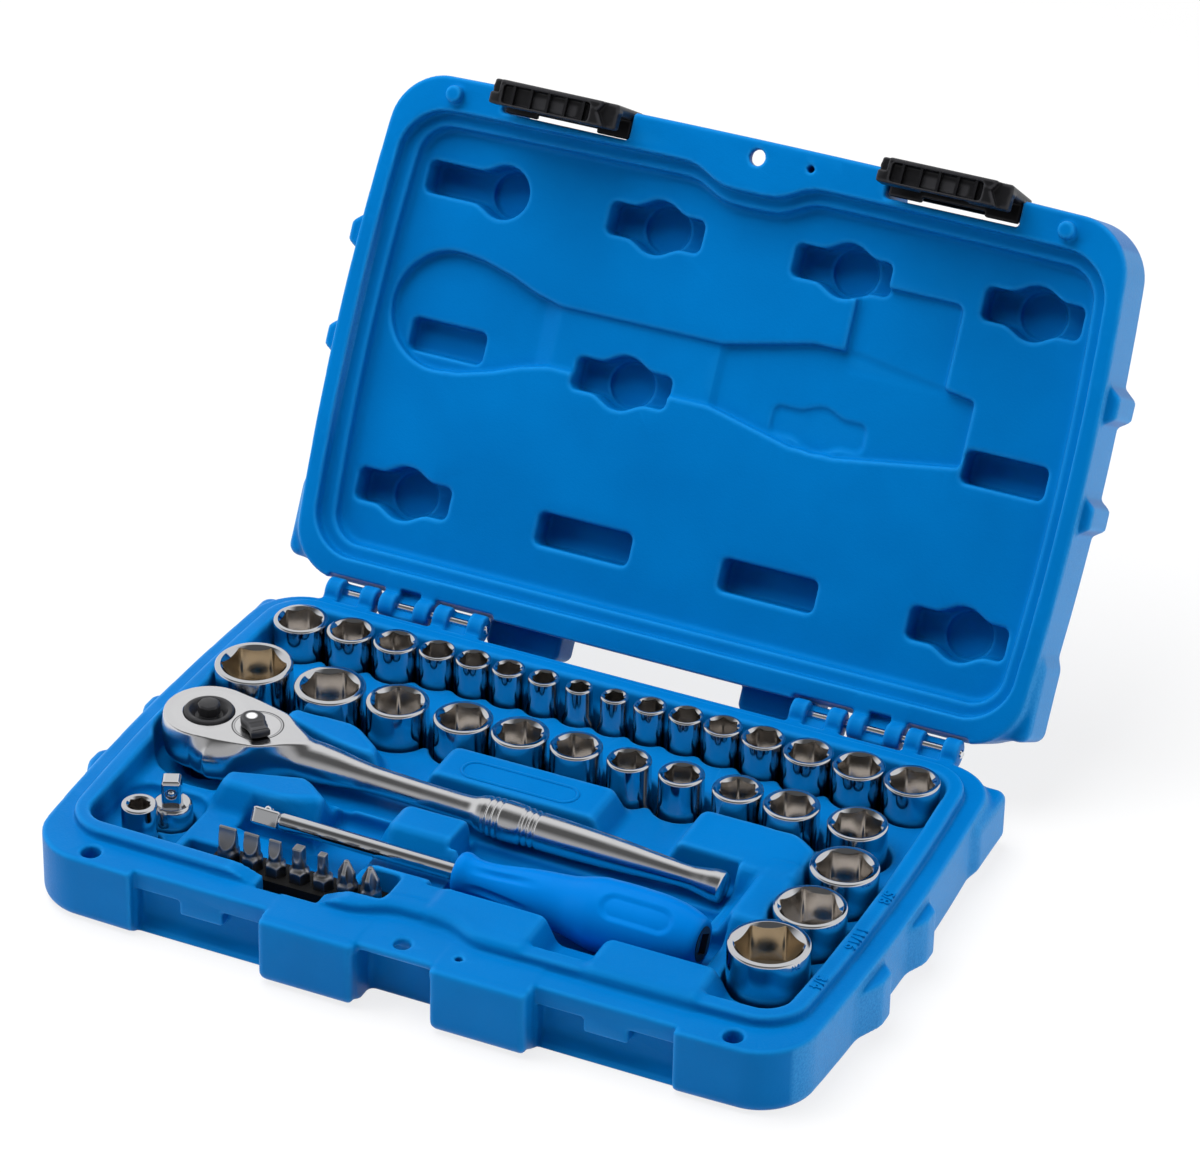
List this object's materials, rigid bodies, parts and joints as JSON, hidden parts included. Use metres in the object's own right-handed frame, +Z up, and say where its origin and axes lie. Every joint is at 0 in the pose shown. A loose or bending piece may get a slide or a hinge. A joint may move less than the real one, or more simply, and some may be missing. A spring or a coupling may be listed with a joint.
{
  "type": "socket wrench set in case",
  "caption": "Hinged blow-moulded case with snap latches, holding rows of sockets, a reversible ratchet, a spinner handle, an adapter, a bit holder and screwdriver bits.",
  "frame": {"origin": "middle of the case base's underside, on the surface that the case stands on", "axes": "+Z up, +X to the right along the hinge as seen from the front, +Y towards the hinge"},
  "size_m": [0.278, 0.2961, 0.1893],
  "materials": {
    "case_blue": "satin blow-moulded polyethylene",
    "latch_black": "satin moulded plastic",
    "strip_black": "matt moulded strip",
    "handle_blue": "smooth gloss",
    "socket_chrome": "mirror chrome plate",
    "ratchet_steel": "satin chrome plate",
    "black_steel": "black oxide",
    "bit_steel": "gunmetal grey phosphate",
    "pin_steel": "plain ground steel"
  },
  "bodies": {
    "base": {"case_base": "case_blue", "hinge_pins": "pin_steel", "bit_strip": "strip_black"},
    "lid": {"case_lid": "case_blue", "latch_pins": "pin_steel"},
    "left_latch": {"left_latch": "latch_black"},
    "right_latch": {"right_latch": "latch_black"},
    "ratchet": {"ratchet_body": "ratchet_steel", "ratchet_plate": "ratchet_steel"},
    "drive": {"drive_gear": "black_steel", "drive_ball": "pin_steel", "release_spring": "pin_steel"},
    "lever": {"reversing_lever": "black_steel", "pawl": "black_steel", "pawl_spring": "pin_steel"},
    "button": {"release_button": "black_steel"},
    "spinner": {"spinner_shank": "ratchet_steel", "spinner_ball": "pin_steel", "spinner_handle": "handle_blue", "spinner_insert": "black_steel"},
    "adapter": {"drive_adapter": "socket_chrome", "adapter_ball": "pin_steel"},
    "bit_holder": {"bit_holder": "socket_chrome"},
    "quarter_socket_01": {"quarter_socket_01": "socket_chrome"},
    "quarter_socket_02": {"quarter_socket_02": "socket_chrome"},
    "quarter_socket_03": {"quarter_socket_03": "socket_chrome"},
    "quarter_socket_04": {"quarter_socket_04": "socket_chrome"},
    "quarter_socket_05": {"quarter_socket_05": "socket_chrome"},
    "quarter_socket_06": {"quarter_socket_06": "socket_chrome"},
    "quarter_socket_07": {"quarter_socket_07": "socket_chrome"},
    "quarter_socket_08": {"quarter_socket_08": "socket_chrome"},
    "quarter_socket_09": {"quarter_socket_09": "socket_chrome"},
    "quarter_socket_10": {"quarter_socket_10": "socket_chrome"},
    "quarter_socket_11": {"quarter_socket_11": "socket_chrome"},
    "quarter_socket_12": {"quarter_socket_12": "socket_chrome"},
    "quarter_socket_13": {"quarter_socket_13": "socket_chrome"},
    "quarter_socket_14": {"quarter_socket_14": "socket_chrome"},
    "quarter_socket_15": {"quarter_socket_15": "socket_chrome"},
    "quarter_socket_16": {"quarter_socket_16": "socket_chrome"},
    "three_eighths_socket_01": {"three_eighths_socket_01": "socket_chrome"},
    "three_eighths_socket_02": {"three_eighths_socket_02": "socket_chrome"},
    "three_eighths_socket_03": {"three_eighths_socket_03": "socket_chrome"},
    "three_eighths_socket_04": {"three_eighths_socket_04": "socket_chrome"},
    "three_eighths_socket_05": {"three_eighths_socket_05": "socket_chrome"},
    "three_eighths_socket_06": {"three_eighths_socket_06": "socket_chrome"},
    "three_eighths_socket_07": {"three_eighths_socket_07": "socket_chrome"},
    "three_eighths_socket_08": {"three_eighths_socket_08": "socket_chrome"},
    "three_eighths_socket_09": {"three_eighths_socket_09": "socket_chrome"},
    "three_eighths_socket_10": {"three_eighths_socket_10": "socket_chrome"},
    "three_eighths_socket_11": {"three_eighths_socket_11": "socket_chrome"},
    "three_eighths_socket_12": {"three_eighths_socket_12": "socket_chrome"},
    "three_eighths_socket_13": {"three_eighths_socket_13": "socket_chrome"},
    "three_eighths_socket_14": {"three_eighths_socket_14": "socket_chrome"},
    "slotted_bit_large": {"slotted_bit_large": "bit_steel"},
    "slotted_bit_medium": {"slotted_bit_medium": "bit_steel"},
    "slotted_bit_small": {"slotted_bit_small": "bit_steel"},
    "square_bit_large": {"square_bit_large": "bit_steel"},
    "square_bit_small": {"square_bit_small": "bit_steel"},
    "cross_bit_large": {"cross_bit_large": "bit_steel"},
    "cross_bit_small": {"cross_bit_small": "bit_steel"}
  },
  "joints": [
    {"name": "lid_hinge", "type": "hinge", "parent": "base", "child": "lid", "pos_m": [0, 0.0935, 0.0235], "axis": [-1, 0, 0], "range_deg": [-120.2, 0]},
    {"name": "left_latch_pivot", "type": "hinge", "parent": "lid", "child": "left_latch", "pos_m": [-0.0695, 0.19129, 0.16965], "axis": [-1, 0, 0], "range_deg": [-1, 62]},
    {"name": "right_latch_pivot", "type": "hinge", "parent": "lid", "child": "right_latch", "pos_m": [0.0695, 0.19129, 0.16965], "axis": [-1, 0, 0], "range_deg": [-6.5, 62]},
    {"name": "ratchet_lift", "type": "slide", "parent": "base", "child": "ratchet", "axis": [0, 0, 1], "range_m": [0, 0.06]},
    {"name": "drive_spin", "type": "hinge", "parent": "ratchet", "child": "drive", "pos_m": [-0.1083, -0.0047, 0.026], "axis": [0.0192, -0.0004, 0.9998], "continuous": true},
    {"name": "reversing_lever_flip", "type": "hinge", "parent": "ratchet", "child": "lever", "pos_m": [-0.09011, -0.00508, 0.02565], "axis": [0.0192, -0.0004, 0.9998], "range_deg": [0, 86]},
    {"name": "release_button_press", "type": "slide", "parent": "drive", "child": "button", "axis": [0.0192, -0.0004, 0.9998], "range_m": [-0.0012, 0], "stiffness_N_per_m": 500, "springref_m": 0.002, "deforming": ["release_spring"]},
    {"name": "spinner_lift", "type": "slide", "parent": "base", "child": "spinner", "axis": [0, 0, 1], "range_m": [0, 0.06]},
    {"name": "adapter_lift", "type": "slide", "parent": "base", "child": "adapter", "axis": [0, 0, 1], "range_m": [0, 0.06]},
    {"name": "bit_holder_lift", "type": "slide", "parent": "base", "child": "bit_holder", "axis": [0, 0, 1], "range_m": [0, 0.06]},
    {"name": "quarter_socket_01_lift", "type": "slide", "parent": "base", "child": "quarter_socket_01", "axis": [0, 0, 1], "range_m": [0, 0.06]},
    {"name": "quarter_socket_02_lift", "type": "slide", "parent": "base", "child": "quarter_socket_02", "axis": [0, 0, 1], "range_m": [0, 0.06]},
    {"name": "quarter_socket_03_lift", "type": "slide", "parent": "base", "child": "quarter_socket_03", "axis": [0, 0, 1], "range_m": [0, 0.06]},
    {"name": "quarter_socket_04_lift", "type": "slide", "parent": "base", "child": "quarter_socket_04", "axis": [0, 0, 1], "range_m": [0, 0.06]},
    {"name": "quarter_socket_05_lift", "type": "slide", "parent": "base", "child": "quarter_socket_05", "axis": [0, 0, 1], "range_m": [0, 0.06]},
    {"name": "quarter_socket_06_lift", "type": "slide", "parent": "base", "child": "quarter_socket_06", "axis": [0, 0, 1], "range_m": [0, 0.06]},
    {"name": "quarter_socket_07_lift", "type": "slide", "parent": "base", "child": "quarter_socket_07", "axis": [0, 0, 1], "range_m": [0, 0.06]},
    {"name": "quarter_socket_08_lift", "type": "slide", "parent": "base", "child": "quarter_socket_08", "axis": [0, 0, 1], "range_m": [0, 0.06]},
    {"name": "quarter_socket_09_lift", "type": "slide", "parent": "base", "child": "quarter_socket_09", "axis": [0, 0, 1], "range_m": [0, 0.06]},
    {"name": "quarter_socket_10_lift", "type": "slide", "parent": "base", "child": "quarter_socket_10", "axis": [0, 0, 1], "range_m": [0, 0.06]},
    {"name": "quarter_socket_11_lift", "type": "slide", "parent": "base", "child": "quarter_socket_11", "axis": [0, 0, 1], "range_m": [0, 0.06]},
    {"name": "quarter_socket_12_lift", "type": "slide", "parent": "base", "child": "quarter_socket_12", "axis": [0, 0, 1], "range_m": [0, 0.06]},
    {"name": "quarter_socket_13_lift", "type": "slide", "parent": "base", "child": "quarter_socket_13", "axis": [0, 0, 1], "range_m": [0, 0.06]},
    {"name": "quarter_socket_14_lift", "type": "slide", "parent": "base", "child": "quarter_socket_14", "axis": [0, 0, 1], "range_m": [0, 0.06]},
    {"name": "quarter_socket_15_lift", "type": "slide", "parent": "base", "child": "quarter_socket_15", "axis": [0, 0, 1], "range_m": [0, 0.06]},
    {"name": "quarter_socket_16_lift", "type": "slide", "parent": "base", "child": "quarter_socket_16", "axis": [0, 0, 1], "range_m": [0, 0.06]},
    {"name": "three_eighths_socket_01_lift", "type": "slide", "parent": "base", "child": "three_eighths_socket_01", "axis": [0, 0, 1], "range_m": [0, 0.06]},
    {"name": "three_eighths_socket_02_lift", "type": "slide", "parent": "base", "child": "three_eighths_socket_02", "axis": [0, 0, 1], "range_m": [0, 0.06]},
    {"name": "three_eighths_socket_03_lift", "type": "slide", "parent": "base", "child": "three_eighths_socket_03", "axis": [0, 0, 1], "range_m": [0, 0.06]},
    {"name": "three_eighths_socket_04_lift", "type": "slide", "parent": "base", "child": "three_eighths_socket_04", "axis": [0, 0, 1], "range_m": [0, 0.06]},
    {"name": "three_eighths_socket_05_lift", "type": "slide", "parent": "base", "child": "three_eighths_socket_05", "axis": [0, 0, 1], "range_m": [0, 0.06]},
    {"name": "three_eighths_socket_06_lift", "type": "slide", "parent": "base", "child": "three_eighths_socket_06", "axis": [0, 0, 1], "range_m": [0, 0.06]},
    {"name": "three_eighths_socket_07_lift", "type": "slide", "parent": "base", "child": "three_eighths_socket_07", "axis": [0, 0, 1], "range_m": [0, 0.06]},
    {"name": "three_eighths_socket_08_lift", "type": "slide", "parent": "base", "child": "three_eighths_socket_08", "axis": [0, 0, 1], "range_m": [0, 0.06]},
    {"name": "three_eighths_socket_09_lift", "type": "slide", "parent": "base", "child": "three_eighths_socket_09", "axis": [0, 0, 1], "range_m": [0, 0.06]},
    {"name": "three_eighths_socket_10_lift", "type": "slide", "parent": "base", "child": "three_eighths_socket_10", "axis": [0, 0, 1], "range_m": [0, 0.06]},
    {"name": "three_eighths_socket_11_lift", "type": "slide", "parent": "base", "child": "three_eighths_socket_11", "axis": [0, 0, 1], "range_m": [0, 0.06]},
    {"name": "three_eighths_socket_12_lift", "type": "slide", "parent": "base", "child": "three_eighths_socket_12", "axis": [0, 0, 1], "range_m": [0, 0.06]},
    {"name": "three_eighths_socket_13_lift", "type": "slide", "parent": "base", "child": "three_eighths_socket_13", "axis": [0, 0, 1], "range_m": [0, 0.06]},
    {"name": "three_eighths_socket_14_lift", "type": "slide", "parent": "base", "child": "three_eighths_socket_14", "axis": [0, 0, 1], "range_m": [0, 0.06]},
    {"name": "slotted_bit_large_lift", "type": "slide", "parent": "base", "child": "slotted_bit_large", "axis": [0, 0, 1], "range_m": [0, 0.06]},
    {"name": "slotted_bit_medium_lift", "type": "slide", "parent": "base", "child": "slotted_bit_medium", "axis": [0, 0, 1], "range_m": [0, 0.06]},
    {"name": "slotted_bit_small_lift", "type": "slide", "parent": "base", "child": "slotted_bit_small", "axis": [0, 0, 1], "range_m": [0, 0.06]},
    {"name": "square_bit_large_lift", "type": "slide", "parent": "base", "child": "square_bit_large", "axis": [0, 0, 1], "range_m": [0, 0.06]},
    {"name": "square_bit_small_lift", "type": "slide", "parent": "base", "child": "square_bit_small", "axis": [0, 0, 1], "range_m": [0, 0.06]},
    {"name": "cross_bit_large_lift", "type": "slide", "parent": "base", "child": "cross_bit_large", "axis": [0, 0, 1], "range_m": [0, 0.06]},
    {"name": "cross_bit_small_lift", "type": "slide", "parent": "base", "child": "cross_bit_small", "axis": [0, 0, 1], "range_m": [0, 0.06]}
  ]
}
